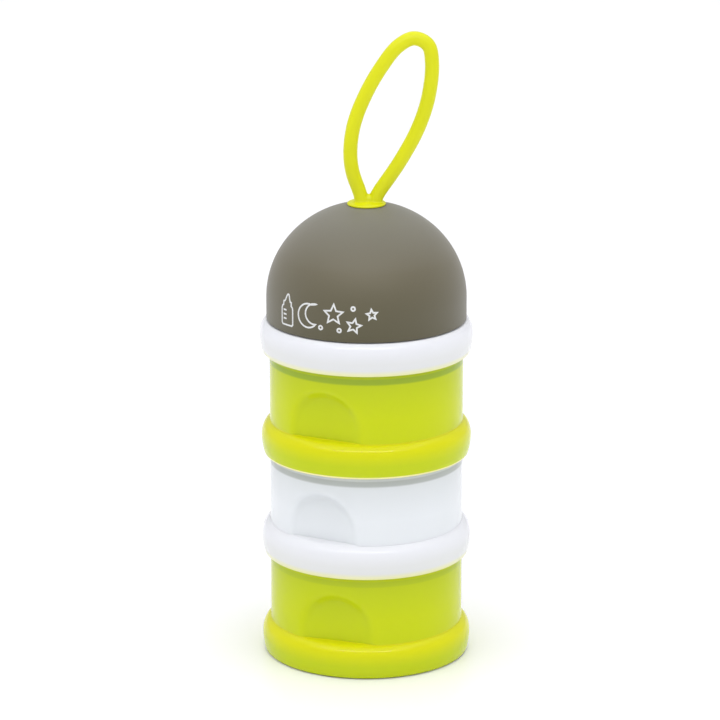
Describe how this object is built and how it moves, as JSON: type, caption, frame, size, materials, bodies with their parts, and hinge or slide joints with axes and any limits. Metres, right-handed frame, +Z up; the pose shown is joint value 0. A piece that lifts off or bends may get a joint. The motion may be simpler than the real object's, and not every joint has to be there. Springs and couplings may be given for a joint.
{
  "type": "formula dispenser",
  "caption": "Stacking milk powder dispenser: screw-together cups, a pouring lid with a funnel spout, a dome cap that covers it and a silicone carry loop.",
  "frame": {"origin": "centre of the bottom ring's underside, on the surface that the stack stands on", "axes": "+Z up the stack to the carry loop, -Y the front with the thumb grips to its left, +X to the right, the side the loop leans to"},
  "size_m": [0.0786, 0.0786, 0.2349],
  "materials": {
    "lime_plastic": "polished translucent polypropylene",
    "white_plastic": "polished translucent polypropylene",
    "grey_plastic": "satin",
    "lime_silicone": "satin moulded silicone",
    "clear_silicone": "translucent silicone"
  },
  "bodies": {
    "container_bottom": {"container_bottom": "lime_plastic", "seal_bottom": "clear_silicone"},
    "seal_middle": {"seal_middle": "clear_silicone"},
    "container_middle": {"container_middle": "white_plastic"},
    "seal_top": {"seal_top": "clear_silicone"},
    "container_top": {"container_top": "lime_plastic"},
    "seal_lid": {"seal_lid": "clear_silicone"},
    "pour_lid": {"pour_lid": "white_plastic"},
    "dome_cap": {"dome_cap": "grey_plastic"},
    "loop_anchor": {"loop_anchor": "lime_silicone"},
    "carry_loop": {"carry_loop": "lime_silicone"}
  },
  "joints": [
    {"name": "middle_rise", "type": "slide", "parent": "container_bottom", "child": "seal_middle", "axis": [0, 0, 1], "range_m": [0, 0.01]},
    {"name": "middle_twist", "type": "hinge", "parent": "seal_middle", "child": "container_middle", "pos_m": [0, 0, 0.0386], "axis": [0, 0, 1], "range_deg": [0, 360]},
    {"name": "top_rise", "type": "slide", "parent": "container_middle", "child": "seal_top", "axis": [0, 0, 1], "range_m": [0, 0.01]},
    {"name": "top_twist", "type": "hinge", "parent": "seal_top", "child": "container_top", "pos_m": [0, 0, 0.0772], "axis": [0, 0, 1], "range_deg": [0, 360]},
    {"name": "lid_rise", "type": "slide", "parent": "container_top", "child": "seal_lid", "axis": [0, 0, 1], "range_m": [0, 0.01]},
    {"name": "lid_twist", "type": "hinge", "parent": "seal_lid", "child": "pour_lid", "pos_m": [0, 0, 0.1158], "axis": [0, 0, 1], "range_deg": [0, 360]},
    {"name": "dome_lift", "type": "slide", "parent": "pour_lid", "child": "dome_cap", "axis": [0, 0, 1], "range_m": [0, 0.04]},
    {"name": "loop_swivel", "type": "hinge", "parent": "dome_cap", "child": "loop_anchor", "pos_m": [0, 0, 0.171], "axis": [0, 0, 1], "continuous": true},
    {"name": "loop_bend", "type": "hinge", "parent": "loop_anchor", "child": "carry_loop", "pos_m": [0, 0, 0.1759], "axis": [1, 0, 0], "range_deg": [-80, 80], "stiffness_Nm_per_rad": 0.02}
  ],
  "couplings": [
    {"joint": "middle_rise", "follows": "middle_twist", "m_per_rad": 0.0015915},
    {"joint": "top_rise", "follows": "top_twist", "m_per_rad": 0.0015915},
    {"joint": "lid_rise", "follows": "lid_twist", "m_per_rad": 0.0015915}
  ]
}
